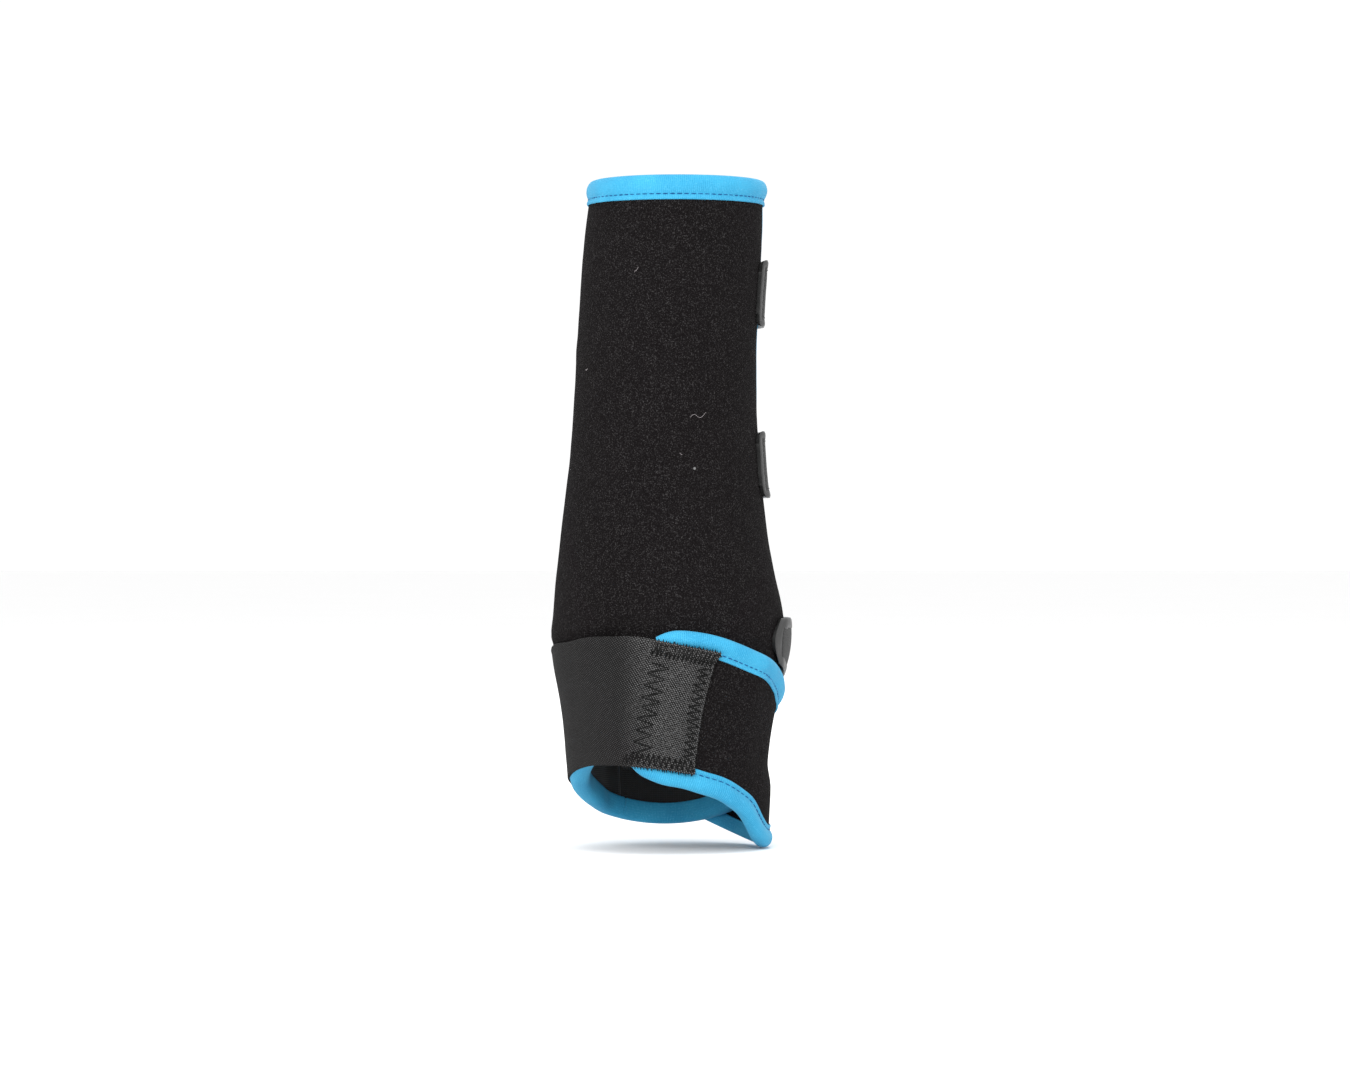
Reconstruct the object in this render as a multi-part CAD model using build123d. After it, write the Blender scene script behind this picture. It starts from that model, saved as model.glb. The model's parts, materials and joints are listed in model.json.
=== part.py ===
from build123d import *
from math import ceil, cos, radians, sin
import os

# Neoprene tendon boot with a fetlock sling, for one leg of a horse. Sizes are in millimetres.
# +Z runs up the leg, +X points to the side that closes, and +Y to the back of the leg.
# The origin is on the leg's axis, at the height of the boot's lowest edge.
# An angle goes round the leg: 0 is the closing side, 90 the back, 180 the far side, 270 the front.
# An offset is measured outwards from the boot's outer face.

# Outer face of the boot wall
boot_height = 300.0
top_half_width = 39.0
cannon_half_width = 41.0
fetlock_half_width = 51.3
fetlock_height = 92.0
pastern_half_width = 43.2
cannon_depth = 94.0
fetlock_depth = 115.0

# Wall layers
face_thickness = 0.7
core_thickness = 4.5
lining_thickness = 0.8
layer_gap = 0.05

# Lower edge of the boot: its height on the leg's axis, and how fast it drops to the back
hem_height = 27.0
hem_drop = 0.43

# Bindings
binding_thickness = 0.65
binding_width = 11.0
binding_play = 0.1

# Closing flap
flap_hinge_angle = 253.0
flap_edge_angle = 17.0
edge_binding_width = 9.0
joint_gap = 0.7

# Sling: its top and bottom edges are planes, given by a height on the axis and two slopes
sling_thickness = 3.6
sling_face_thickness = 0.7
sling_clearance = 0.35
sling_top_height = 84.0
sling_top_slopes = (-0.25, -0.22)
sling_bottom_height = 22.0
sling_bottom_slopes = (-0.49, -0.10)
sling_base_end = 100.0
sling_hinge_angle = 51.0
sling_binding_width = 10.0

# Strap sewn to the front end of the sling
strap_thickness = 1.8
strap_width = 56.0
strap_top_height = 80.0
strap_slopes = (-0.17, -0.23)
seam_angle = 260.0
strap_sewn_end = 287.0
strap_end = 132.0
strap_hook_start = 158.0
strap_hook_thickness = 1.1

# Closing tabs, from the top down
tab_height = 30.0
lower_tab_height = 33.0
upper_tab_drop = 36.0
lower_tab_base = 70.0
middle_tab_share = 0.53
tab_thickness = 1.6
tab_hook_thickness = 1.15
tab_base_start = -14.0
tab_hinge_angle = 14.5
tab_end = 58.0
tab_hook_start = 31.0
tab_hook_inset = 2.0
tab_sling_gap = 1.5

section_spacing = 25.0

# Sections of the outer face, from the bottom up: height, half width, centre x, front y, back y
fetlock_front = -0.47 * fetlock_depth
cannon_front = -0.484 * cannon_depth
leg_sections = [
    (-25.0, pastern_half_width - 4.5, -2.5, -40.0, 41.0),
    (10.0, pastern_half_width - 2.4, -3.0, -43.0, 46.0),
    (40.0, pastern_half_width, -3.2, -47.5, 52.0),
    (64.0, 0.58 * pastern_half_width + 0.42 * fetlock_half_width, -2.4, -51.5, 57.5),
    (fetlock_height, fetlock_half_width, -0.9, fetlock_front, fetlock_front + fetlock_depth),
    (fetlock_height + 36.0, fetlock_half_width - 2.6, -2.6, -50.0, 57.0),
    (fetlock_height + 63.0, 0.62 * cannon_half_width + 0.38 * fetlock_half_width, -3.5, -47.0, 52.5),
    (fetlock_height + 108.0, cannon_half_width, -2.7, cannon_front, cannon_front + cannon_depth),
    (boot_height - 55.0, 0.5 * (cannon_half_width + top_half_width), -1.0, -44.5, 46.5),
    (boot_height, top_half_width, 3.0, -44.0, 45.5),
    (boot_height + 20.0, top_half_width, 4.5, -44.0, 45.5),
]


def slope_at(index, column):
    """Slope of one column of leg_sections at one of its rows."""
    low = leg_sections[max(index - 1, 0)]
    high = leg_sections[min(index + 1, len(leg_sections) - 1)]
    return (high[column] - low[column]) / (high[0] - low[0])


def shape_at(height):
    """Half width, half depth, centre x and centre y of the outer face at a height."""
    index = 0
    while index < len(leg_sections) - 2 and height > leg_sections[index + 1][0]:
        index += 1
    low, high = leg_sections[index], leg_sections[index + 1]
    span = high[0] - low[0]
    t = (height - low[0]) / span
    values = []
    for column in range(1, 5):
        values.append((2 * t**3 - 3 * t**2 + 1) * low[column]
                      + (t**3 - 2 * t**2 + t) * span * slope_at(index, column)
                      + (3 * t**2 - 2 * t**3) * high[column]
                      + (t**3 - t**2) * span * slope_at(index + 1, column))
    half_width, centre_x, front, back = values
    return half_width, 0.5 * (back - front), centre_x, 0.5 * (front + back)


def point_at(angle, height, offset):
    """Point at an angle round the leg, at an offset from the outer face."""
    half_width, half_depth, centre_x, centre_y = shape_at(height)
    return Vector(centre_x + (half_width + offset) * cos(radians(angle)),
                  centre_y + (half_depth + offset) * sin(radians(angle)), height)


def section_heights():
    """Evenly spaced heights, from below the lowest edge to above the top edge."""
    low, high = leg_sections[0][0], leg_sections[-1][0]
    count = ceil((high - low) / section_spacing)
    return [low + (high - low) * step / count for step in range(count + 1)]


def arc_at(height, start, end, offset):
    """Elliptical arc round the leg, from one angle to the other."""
    half_width, half_depth, centre_x, centre_y = shape_at(height)
    return EllipticalCenterArc((centre_x, centre_y, height), half_width + offset,
                               half_depth + offset, start, arc_size=end - start).edge()


def shell(start, end, inner, outer):
    """Full-height shell round the leg, between two angles and two offsets."""
    profiles = []
    for height in section_heights():
        inside = arc_at(height, start, end, inner)
        outside = arc_at(height, start, end, outer)
        ends = [Line(inside @ t, outside @ t).edge() for t in (0, 1)]
        profiles.append(Face(Wire([inside, ends[1], outside, ends[0]])))
    return loft(profiles)


def slanted(height, slopes=(0.0, 0.0)):
    """Plane through a height on the leg's axis, rising by the slopes along X and Y."""
    return Plane(origin=(0, 0, height), z_dir=(-slopes[0], -slopes[1], 1))


def between(part, low_plane, high_plane):
    """The part of a solid above one plane and below another."""
    part = split(part, bisect_by=low_plane, keep=Keep.TOP)
    return split(part, bisect_by=high_plane, keep=Keep.BOTTOM)


def gap_angle(gap):
    """Angle that a gap takes up on the outer face, near the fetlock."""
    return gap / radians(fetlock_half_width)


wall_thickness = face_thickness + core_thickness + lining_thickness
hem_slopes = (0.0, -hem_drop)
sling_inner = binding_thickness + binding_play + sling_clearance
sling_outer = (sling_inner + binding_thickness + binding_play + sling_thickness
               + layer_gap + sling_face_thickness)
tab_base_inner = binding_thickness + 2 * binding_play
tab_hook_inner = tab_base_inner + 0.25
tab_inner = tab_hook_inner + tab_hook_thickness + layer_gap
tab_outer = tab_inner + tab_thickness
sling_skin = sling_outer + binding_play + binding_thickness
strap_inner = sling_skin + layer_gap
half_gap = gap_angle(joint_gap / 2)
parts = {}


def wall_half(name, start, end, closing_edge):
    """One half of the boot wall: three layers, and bindings on three edges.

    closing_edge is the end, "start" or "end", that is bound at the closure."""
    edge = binding_thickness + binding_play
    lip = gap_angle(edge)
    layer_start = start + (lip if closing_edge == "start" else 0.0)
    layer_end = end - (lip if closing_edge == "end" else 0.0)
    core_inner = -face_thickness - core_thickness
    layers = {
        "face": (-face_thickness, 0.0),
        "core": (core_inner + layer_gap, -face_thickness - layer_gap),
        "lining": (-wall_thickness, core_inner),
    }
    for layer, (inner, outer) in layers.items():
        parts[f"{name}_{layer}"] = between(shell(layer_start, layer_end, inner, outer),
                                           slanted(hem_height + edge, hem_slopes),
                                           slanted(boot_height - edge))

    inner, outer = -wall_thickness - edge, edge
    groove = (inner + binding_thickness, outer - binding_thickness)
    band = shell(start, end, inner, outer)
    slot = shell(start - 1, end + 1, *groove)
    parts[f"{name}_top_binding"] = (
        between(band, slanted(boot_height - binding_width), slanted(boot_height))
        - between(slot, slanted(boot_height - 2 * binding_width),
                  slanted(boot_height - binding_thickness)))
    parts[f"{name}_bottom_binding"] = (
        between(band, slanted(hem_height, hem_slopes),
                slanted(hem_height + binding_width, hem_slopes))
        - between(slot, slanted(hem_height + binding_thickness, hem_slopes),
                  slanted(hem_height + 2 * binding_width, hem_slopes)))

    width = gap_angle(edge_binding_width)
    skin = gap_angle(binding_thickness)
    if closing_edge == "start":
        band_ends, slot_ends = (start, start + width), (start + skin, start + width + 2)
    else:
        band_ends, slot_ends = (end - width, end), (end - width - 2, end - skin)
    low, high = hem_height + binding_width + layer_gap, boot_height - binding_width - layer_gap
    parts[f"{name}_edge_binding"] = (
        between(shell(*band_ends, inner, outer), slanted(low, hem_slopes), slanted(high))
        - shell(*slot_ends, *groove))


def sling_piece(name, start, end):
    """A length of the sling: core and face, bound along the top and the bottom."""
    edge = binding_thickness + binding_play
    top, bottom = sling_top_height, sling_bottom_height
    layers = {
        "core": (sling_inner + edge, sling_inner + edge + sling_thickness),
        "face": (sling_inner + edge + sling_thickness + layer_gap, sling_outer),
    }
    for layer, (inner, outer) in layers.items():
        parts[f"{name}_{layer}"] = between(shell(start, end, inner, outer),
                                           slanted(bottom + edge, sling_bottom_slopes),
                                           slanted(top - edge, sling_top_slopes))
    band = shell(start, end, sling_inner, sling_skin)
    slot = shell(start - 1, end + 1, sling_inner + binding_thickness,
                 sling_skin - binding_thickness)
    parts[f"{name}_top_binding"] = (
        between(band, slanted(top - sling_binding_width, sling_top_slopes),
                slanted(top, sling_top_slopes))
        - between(slot, slanted(top - 2 * sling_binding_width, sling_top_slopes),
                  slanted(top - binding_thickness, sling_top_slopes)))
    parts[f"{name}_bottom_binding"] = (
        between(band, slanted(bottom, sling_bottom_slopes),
                slanted(bottom + sling_binding_width, sling_bottom_slopes))
        - between(slot, slanted(bottom + binding_thickness, sling_bottom_slopes),
                  slanted(bottom + 2 * sling_binding_width, sling_bottom_slopes)))


def strap_offset(angle):
    """Inner offset of the free strap: it leaves the sling, then lies against the boot."""
    rise = min(max((angle - 195.0) / (seam_angle - 195.0), 0.0), 1.0)
    over_hook = min(max((strap_hook_start + 24.0 - angle) / 20.0, 0.0), 1.0)
    lying = sling_inner + over_hook * (strap_hook_thickness + 3 * layer_gap)
    return lying + (strap_inner - lying) * rise * rise * (3 - 2 * rise)


def free_strap(start, end):
    """Full-height strip from one angle to the other, at the strap's varying offset."""
    steps = 12
    angles = [start + (end - start) * step / steps for step in range(steps + 1)]
    profiles = []
    for height in section_heights():
        curves = [Spline([point_at(angle, height, strap_offset(angle) + thickness)
                          for angle in angles]).edge() for thickness in (0.0, strap_thickness)]
        ends = [Line(curves[0] @ t, curves[1] @ t).edge() for t in (0, 1)]
        profiles.append(Face(Wire([curves[0], ends[1], curves[1], ends[0]])))
    return loft(profiles)


def sling_strap():
    """Woven strap: its sewn end on the sling, the free length and the hook patch."""
    low, high = strap_top_height - strap_width, strap_top_height
    edges = slanted(low, strap_slopes), slanted(high, strap_slopes)
    sewn = shell(seam_angle + half_gap, strap_sewn_end, strap_inner, strap_inner + strap_thickness)
    parts["strap_sewn_end"] = between(sewn, *edges)
    parts["strap_band"] = between(free_strap(strap_end, seam_angle - half_gap), *edges)
    hook = shell(strap_end + 1.0, strap_hook_start, sling_inner, sling_inner + strap_hook_thickness)
    parts["strap_hook"] = between(hook, slanted(low + tab_hook_inset, strap_slopes),
                                  slanted(high - tab_hook_inset, strap_slopes))


def closing_tab(name, low_plane, high_plane, hook_low_plane, hook_high_plane):
    """Tab sewn to the flap: base, free tab and hook patch."""
    parts[f"{name}_base"] = between(
        shell(tab_base_start, tab_hinge_angle - half_gap, tab_base_inner, tab_outer),
        low_plane, high_plane)
    parts[f"{name}_strap"] = between(
        shell(tab_hinge_angle + half_gap, tab_end, tab_inner, tab_outer), low_plane, high_plane)
    parts[f"{name}_hook"] = between(
        shell(tab_hook_start, tab_end - 1.5, tab_hook_inner, tab_hook_inner + tab_hook_thickness),
        hook_low_plane, hook_high_plane)


def hinge_at(angle, offset, low, high):
    """Vertical hinge line just outside everything that it joins, from low to high."""
    steps = 12
    reach = [point_at(angle, low + (high - low) * step / steps, offset)
             for step in range(steps + 1)]
    outward = Vector(cos(radians(angle)), sin(radians(angle)), 0)
    return max(reach, key=lambda point: point.dot(outward))


wall_half("rear", flap_edge_angle + half_gap, flap_hinge_angle - half_gap, "start")
wall_half("flap", flap_hinge_angle + half_gap - 360.0, flap_edge_angle - half_gap, "end")
sling_piece("sling_base", sling_hinge_angle + half_gap, sling_base_end)
sling_piece("sling_arm", seam_angle + half_gap - 360.0, sling_hinge_angle - half_gap)
sling_strap()

upper_tab_high = boot_height - upper_tab_drop
upper_tab_low = upper_tab_high - tab_height
middle_tab_low = lower_tab_base + middle_tab_share * (upper_tab_low - lower_tab_base)
tabs = {
    "upper_tab": (upper_tab_low, upper_tab_high),
    "middle_tab": (middle_tab_low, middle_tab_low + tab_height),
    "lower_tab": (lower_tab_base, lower_tab_base + lower_tab_height),
}
hinges = {
    "flap_open": hinge_at(flap_hinge_angle, sling_inner, hem_height, boot_height),
    "sling_open": hinge_at(sling_hinge_angle, sling_skin, 0.0, sling_top_height),
    "strap_open": hinge_at(seam_angle, strap_inner + strap_thickness, 40.0, 100.0),
}
for name, (low, high) in tabs.items():
    edges = slanted(low), slanted(high)
    hook_edges = slanted(low + tab_hook_inset), slanted(high - tab_hook_inset)
    if name == "lower_tab":
        low_edge = sling_top_height + tab_sling_gap
        edges = slanted(low_edge, sling_top_slopes), edges[1]
        hook_edges = slanted(low_edge + tab_hook_inset, sling_top_slopes), hook_edges[1]
    closing_tab(name, *edges, *hook_edges)
    hinges[f"{name}_peel"] = hinge_at(tab_hinge_angle, tab_outer, low, high)

os.makedirs("parts", exist_ok=True)
for name, part in parts.items():
    part.label = name
    export_step(part, f"parts/{name}.step")
for name, point in hinges.items():
    print(f"{name}: x {point.X:.2f}, y {point.Y:.2f}")
print(len(parts), "nodes")
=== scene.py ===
import bmesh
import bpy
import json
import math
import random
from mathutils import Matrix, Vector, noise


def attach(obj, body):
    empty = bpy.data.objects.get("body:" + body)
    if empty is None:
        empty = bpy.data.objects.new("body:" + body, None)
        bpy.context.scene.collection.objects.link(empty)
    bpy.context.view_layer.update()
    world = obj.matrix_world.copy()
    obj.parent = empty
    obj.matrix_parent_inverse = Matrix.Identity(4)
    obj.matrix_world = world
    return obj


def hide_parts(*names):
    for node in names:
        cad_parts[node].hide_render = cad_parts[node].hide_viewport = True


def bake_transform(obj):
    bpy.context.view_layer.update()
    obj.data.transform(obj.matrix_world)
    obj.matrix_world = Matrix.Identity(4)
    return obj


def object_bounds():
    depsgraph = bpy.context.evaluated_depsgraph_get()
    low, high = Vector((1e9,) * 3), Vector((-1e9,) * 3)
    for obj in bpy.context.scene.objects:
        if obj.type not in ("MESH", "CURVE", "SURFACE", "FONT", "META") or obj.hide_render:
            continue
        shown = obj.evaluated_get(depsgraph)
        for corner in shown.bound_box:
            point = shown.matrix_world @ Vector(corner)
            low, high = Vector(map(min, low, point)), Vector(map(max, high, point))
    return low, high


# A neoprene tendon boot with a fetlock sling. Sizes in the dictionaries are millimetres,
# angles are degrees round the leg: 0 the closing side, 90 the back, 180 the far side, 270 the front.
# An offset stands outwards from the boot's outer face.

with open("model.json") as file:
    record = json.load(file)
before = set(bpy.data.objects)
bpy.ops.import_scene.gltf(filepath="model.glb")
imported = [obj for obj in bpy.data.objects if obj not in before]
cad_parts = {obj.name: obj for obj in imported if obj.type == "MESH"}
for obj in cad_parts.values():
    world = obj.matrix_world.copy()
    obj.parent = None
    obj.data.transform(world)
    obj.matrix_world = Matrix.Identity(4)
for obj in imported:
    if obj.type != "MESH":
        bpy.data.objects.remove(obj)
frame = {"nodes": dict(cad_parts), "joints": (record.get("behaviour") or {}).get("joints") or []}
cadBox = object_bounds()
joints = {joint["name"]: joint for joint in frame["joints"]}
mm = 0.001
print("frame loaded,", len(frame["nodes"]), "nodes")


# shader maths

class Wire:
    def __init__(self, paint, socket):
        self.paint = paint
        self.socket = socket

    def maths(self, operation, *values):
        return self.paint.node("ShaderNodeMath", {"operation": operation}, values)

    def __add__(self, other):
        return self.maths("ADD", self, other)

    def __sub__(self, other):
        return self.maths("SUBTRACT", self, other)

    def __rsub__(self, other):
        return self.maths("SUBTRACT", other, self)

    def __mul__(self, other):
        return self.maths("MULTIPLY", self, other)

    __radd__ = __add__
    __rmul__ = __mul__

    def wave(self, pitch):
        # a smooth ridge, from 0 to 1, once in each pitch
        return self.maths("SINE", self * (2 * math.pi / pitch)) * 0.5 + 0.5

    def between(self, low, high):
        # 0 below low, 1 above high
        return self.paint.node("ShaderNodeMapRange", {"interpolation_type": "SMOOTHSTEP"},
                               [self, low, high])


class Paint:
    def __init__(self, name, **fixed):
        self.material = bpy.data.materials.new(name)
        self.material.use_nodes = True
        self.tree = self.material.node_tree
        self.shader = self.tree.nodes["Principled BSDF"]
        for socket, value in fixed.items():
            self.shader.inputs[socket.replace("_", " ")].default_value = value
        self.place = self.node("ShaderNodeTexCoord", output=3)
        self.cloth = self.node("ShaderNodeUVMap", {"uv_map": "flat"})

    def node(self, kind, settings=None, inputs=(), output=0):
        made = self.tree.nodes.new(kind)
        for key, value in (settings or {}).items():
            setattr(made, key, value)
        pairs = inputs.items() if isinstance(inputs, dict) else enumerate(inputs)
        for key, value in pairs:
            if isinstance(value, Wire):
                self.tree.links.new(value.socket, made.inputs[key])
            else:
                made.inputs[key].default_value = value
        return Wire(self, made.outputs[output])

    def noise(self, where, scale, detail=2.0, roughness=0.5):
        return self.node("ShaderNodeTexNoise", {"noise_dimensions": "3D"},
                         {"Vector": where, "Scale": scale, "Detail": detail, "Roughness": roughness})

    def cells(self, where, scale):
        return self.node("ShaderNodeTexVoronoi", inputs={"Vector": where, "Scale": scale})

    def axis(self, where, index):
        return self.node("ShaderNodeSeparateXYZ", inputs=[where], output=index)

    def mix(self, share, first, second):
        # inputs 6 and 7 are the colours of a Mix node, and output 2 its colour
        return self.node("ShaderNodeMix", {"data_type": "RGBA"}, {0: share, 6: first, 7: second}, 2)

    def set(self, **links):
        for socket, wire in links.items():
            self.tree.links.new(wire.socket, self.shader.inputs[socket.replace("_", " ")])

    def bump(self, height, depth, strength=1.0, under=None):
        inputs = {"Strength": strength, "Distance": depth * mm, "Height": height}
        if under:
            inputs["Normal"] = under
        return self.node("ShaderNodeBump", inputs=inputs)


def grey(value, warm=0.0):
    return (value * (1 + warm), value, value * (1 + 0.3 * warm), 1.0)


# materials

# how far round the leg, in metres, the strap's weave turns rough and is painted lighter, a painted
# highlight where the strap faces the light
strapLitRoughPart = {"litRoughFrom": 0.236, "litRoughTo": 0.254}


def loopFabric():
    # brushed loop pile: near black, with grey flecks where loops catch the light
    paint = Paint("loopFabric", Roughness=1.0, Specular_IOR_Level=0.05)
    fuzz = paint.noise(paint.place, 3000, 3, 0.7)
    flecks = paint.noise(paint.place, 1700, 2, 0.75).between(0.50, 0.72)
    clumps = paint.noise(paint.place, 330, 2).between(0.25, 0.70)
    patches = paint.noise(paint.place, 30, 3)
    lint = (1 - paint.cells(paint.place, 60).between(0.025, 0.045)) * paint.noise(
        paint.place, 45, 0).between(0.56, 0.60)
    base = paint.mix(patches, grey(0.0022, 0.30), grey(0.0040, 0.25))
    base = paint.mix(fuzz.between(0.35, 0.7) * 0.6, base, grey(0.0070, 0.15))
    base = paint.mix(flecks * (clumps * 0.5 + 0.45), base, grey(0.047, 0.05))
    base = paint.mix(lint * 0.6, base, grey(0.25))
    pile = paint.bump(fuzz + flecks * 0.5, 0.22, 0.7)
    paint.set(Base_Color=base, Normal=paint.bump(patches, 0.8, 0.25, pile))
    return paint.material


def neoprene():
    paint = Paint("neoprene", Roughness=0.85, Specular_IOR_Level=0.3)
    foam = paint.cells(paint.place, 1600)
    paint.set(Base_Color=paint.mix(foam, grey(0.018), grey(0.035)),
              Normal=paint.bump(foam, 0.2, 0.8))
    return paint.material


def liningKnit():
    # fine jersey: rows of small loops
    paint = Paint("liningKnit", Roughness=0.8, Sheen_Weight=0.1, Specular_IOR_Level=0.25)
    along, up = paint.axis(paint.cloth, 0), paint.axis(paint.cloth, 1)
    drift = paint.noise(paint.place, 90, 2) * 0.0002
    rows = (along + drift).wave(1.1 * mm) * (up + drift).wave(0.9 * mm)
    patches = paint.noise(paint.place, 40, 3)
    base = paint.mix(rows * 0.7, grey(0.010), grey(0.030))
    base = paint.mix(patches * 0.35, base, grey(0.020, 0.1))
    paint.set(Base_Color=base, Normal=paint.bump(rows, 0.18, 0.8))
    return paint.material


def blueBinding():
    # stretch binding: fine ribs across the tape, with the ridges painted paler as a painted highlight
    paint = Paint("blueBinding", Roughness=0.75, Sheen_Weight=0.06, Sheen_Roughness=0.4,
                  Specular_IOR_Level=0.18)
    along, across = paint.axis(paint.cloth, 0), paint.axis(paint.cloth, 1)
    drift = paint.noise(paint.place, 220, 2) * 0.0009
    ribs = (along + drift).wave(0.85 * mm)
    stitches = (across + drift * 0.6).wave(0.8 * mm)
    fuzz = paint.noise(paint.place, 1500, 2, 0.6)
    tone = paint.noise(paint.place, 60, 3)
    base = paint.mix(tone.between(0.3, 0.7), (0.015, 0.215, 0.40, 1), (0.028, 0.28, 0.48, 1))
    # painted highlight: the ridges of the ribs are painted paler, as if catching the light
    base = paint.mix(ribs * 0.3 + stitches * 0.08, base, (0.075, 0.46, 0.70, 1))
    base = paint.mix(fuzz.between(0.5, 0.8) * 0.3, base, (0.16, 0.58, 0.82, 1))
    knit = paint.bump(ribs * 0.6 + stitches * 0.25 + fuzz * 0.5, 0.15, 0.7)
    paint.set(Base_Color=base, Normal=knit)
    return paint.material


def wovenStrap():
    # heavy elastic: short grey floats in slanting rows on a dark ground, rougher where it is sewn;
    # there the colour is also painted lighter as painted light, and painted darker elsewhere as painted
    # shade
    paint = Paint("wovenStrap", Roughness=0.9, Specular_IOR_Level=0.12)
    along, up = paint.axis(paint.cloth, 0), paint.axis(paint.cloth, 1)
    drift = paint.noise(paint.place, 240, 2) * 0.0007
    slant = (along * 0.82 + up * 0.57 + drift).wave(1.0 * mm)
    cross = (along * -0.42 + up * 0.91 + drift).wave(0.85 * mm)
    floats = slant * cross
    fuzz = paint.noise(paint.place, 1500, 2, 0.7)
    worn = paint.noise(paint.place, 420, 2)
    patches = paint.noise(paint.place, 40, 3)
    # sewn: 1 where the weave is rough, and where the colour is painted lighter as a painted highlight
    # on the part that faces the light
    sewn = along.between(strapLitRoughPart["litRoughFrom"], strapLitRoughPart["litRoughTo"])
    dots = floats.between(0.32, 0.80) * (worn * 0.9 + 0.35) * (fuzz * 0.9 + 0.4)
    ground = paint.mix(patches, grey(0.0035, 0.1), grey(0.0070, 0.08))
    # painted light: floats and fuzz are painted lighter over the sewn part facing the light, and darker
    # round the side as painted shade
    base = paint.mix(dots * (sewn * 0.85 + 0.42), ground, grey(0.16))
    base = paint.mix(fuzz.between(0.46, 0.75) * (sewn * 0.42 + 0.03), base, grey(0.16))
    weave = paint.bump(floats + fuzz * (sewn * 0.6 + 0.3), 0.26, 0.8)
    paint.set(Base_Color=base, Normal=weave)
    return paint.material


def tabFabric():
    paint = Paint("tabFabric", Roughness=0.8, Sheen_Weight=0.1, Specular_IOR_Level=0.3)
    along, up = paint.axis(paint.cloth, 0), paint.axis(paint.cloth, 1)
    weave = (along + up).wave(0.7 * mm) * (along - up).wave(0.7 * mm)
    fuzz = paint.noise(paint.place, 1500, 2)
    base = paint.mix(weave * 0.6, grey(0.006), grey(0.024))
    paint.set(Base_Color=base, Normal=paint.bump(weave + fuzz * 0.4, 0.18, 0.8))
    return paint.material


def tabMargin():
    # moulded rubber edge, satin, slightly scuffed
    paint = Paint("tabMargin", Specular_IOR_Level=0.35)
    scuffs = paint.noise(paint.place, 260, 4, 0.7)
    grain = paint.noise(paint.place, 1800, 2)
    paint.set(Base_Color=paint.mix(scuffs, grey(0.013), grey(0.034)),
              Roughness=scuffs.between(0.3, 0.8) * 0.2 + 0.36,
              Normal=paint.bump(grain, 0.05, 0.5))
    return paint.material


def hookTape():
    paint = Paint("hookTape", Roughness=0.5, Specular_IOR_Level=0.45)
    hooks = paint.cells(paint.place, 850)
    paint.set(Base_Color=paint.mix(hooks, grey(0.035), grey(0.008)),
              Normal=paint.bump(1 - hooks, 0.5, 1.0))
    return paint.material


def thread(name, dark, light):
    paint = Paint(name, Roughness=0.7, Specular_IOR_Level=0.15)
    twist = paint.noise(paint.place, 2400, 1)
    paint.set(Base_Color=paint.mix(twist, dark, light), Normal=paint.bump(twist, 0.08, 0.8))
    return paint.material


finish = {
    "loop": loopFabric(),
    "neoprene": neoprene(),
    "lining": liningKnit(),
    "blue": blueBinding(),
    "woven": wovenStrap(),
    "tab": tabFabric(),
    "margin": tabMargin(),
    "hook": hookTape(),
    "blueThread": thread("blueThread", (0.003, 0.035, 0.12, 1), (0.01, 0.10, 0.28, 1)),
    "blackThread": thread("blackThread", grey(0.0015), grey(0.004)),
    "fluff": thread("fluff", grey(0.16, 0.1), grey(0.30, 0.1)),
    "paleThread": thread("paleThread", grey(0.035), grey(0.085)),
}
print("materials ready:", len(finish))


# the leg that everything is wrapped round: height, half width, centre x, front y, back y
legShape = [
    (-25, 38.7, -2.5, -40.0, 41.0),
    (10, 40.8, -3.0, -43.0, 46.0),
    (40, 43.0, -3.2, -47.5, 52.0),
    (64, 46.4, -2.6, -51.5, 57.5),
    (80, 50.2, -1.4, -53.4, 60.2),
    (92, 52.0, -0.9, -54.0, 61.0),
    (104, 51.8, -1.2, -53.2, 60.4),
    (122, 49.6, -2.4, -51.0, 58.0),
    (142, 46.6, -3.3, -48.6, 54.6),
    (158, 44.5, -3.3, -47.0, 52.2),
    (175, 42.8, -3.0, -46.0, 50.2),
    (200, 41.3, -2.7, -45.5, 48.5),
    (232, 40.5, -1.5, -44.9, 47.0),
    (270, 40.2, 0.7, -44.3, 46.0),
    (300, 39.0, 3.0, -44.0, 45.5),
    (320, 39.0, 4.5, -44.0, 45.5),
]


def slopeAt(row, column):
    low, high = legShape[max(row - 1, 0)], legShape[min(row + 1, len(legShape) - 1)]
    return (high[column] - low[column]) / (high[0] - low[0])


def legSection(height):
    row = 0
    while row < len(legShape) - 2 and height > legShape[row + 1][0]:
        row += 1
    low, high = legShape[row], legShape[row + 1]
    span = high[0] - low[0]
    t = (height - low[0]) / span
    values = [(2 * t**3 - 3 * t**2 + 1) * low[c] + (t**3 - 2 * t**2 + t) * span * slopeAt(row, c)
              + (3 * t**2 - 2 * t**3) * high[c] + (t**3 - t**2) * span * slopeAt(row + 1, c)
              for c in range(1, 5)]
    halfWidth, centreX, front, back = values
    return halfWidth, (back - front) / 2, centreX, (front + back) / 2


def legPoint(angle, height, offset=0.0):
    halfWidth, halfDepth, centreX, centreY = legSection(height)
    turn = math.radians(angle)
    return Vector((centreX + (halfWidth + offset) * math.cos(turn),
                   centreY + (halfDepth + offset) * math.sin(turn), height)) * mm


def smooth(value, low, high):
    # 0 at low, 1 at high, whichever of them is larger
    t = min(max((value - low) / (high - low), 0.0), 1.0)
    return t * t * (3 - 2 * t)


def band(value, low, high, soft):
    # 1 between low and high, fading to 0 over soft on both sides
    return smooth(value, low - soft, low) * (1 - smooth(value, high, high + soft))


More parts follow.
